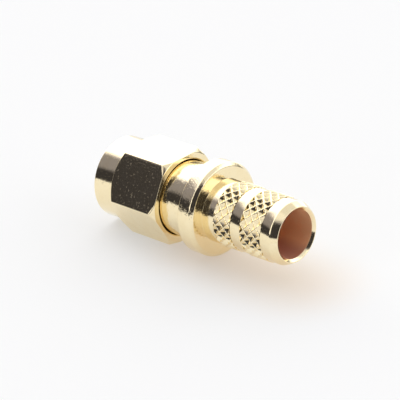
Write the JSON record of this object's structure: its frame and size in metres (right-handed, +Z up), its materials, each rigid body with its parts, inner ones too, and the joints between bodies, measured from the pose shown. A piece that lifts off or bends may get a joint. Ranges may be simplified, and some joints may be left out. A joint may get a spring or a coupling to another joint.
{
  "type": "sma cable plug",
  "caption": "Gold-plated coaxial cable plug: a hexagonal coupling nut turns freely on a flanged body with a knurled hollow crimp stem, a white insulator and a centre pin.",
  "frame": {"origin": "on the axis at the reference plane, where the front end of the contact sleeve seats in the mating socket", "axes": "+X along the axis towards the cable end, +Z up with a flat of the hexagon below, +Y completes the right-handed set"},
  "size_m": [0.0215, 0.0092, 0.0088],
  "materials": {
    "body_gold": "polished gold plate over turned brass",
    "nut_gold": "polished gold plate over turned and milled brass",
    "spring_bronze": "plain spring bronze",
    "gasket_rubber": "matte silicone rubber",
    "white_fluoroplastic": "waxy white fluoroplastic",
    "contact_gold": "polished gold plate"
  },
  "bodies": {
    "plug_body": {"body": "body_gold", "retaining_ring": "spring_bronze", "gasket": "gasket_rubber", "insulator": "white_fluoroplastic", "centre_contact": "contact_gold"},
    "nut": {"coupling_nut": "nut_gold"}
  },
  "joints": [
    {"name": "nut_spin", "type": "hinge", "parent": "plug_body", "child": "nut", "pos_m": [0, 0, 0], "axis": [1, 0, 0], "continuous": true}
  ]
}
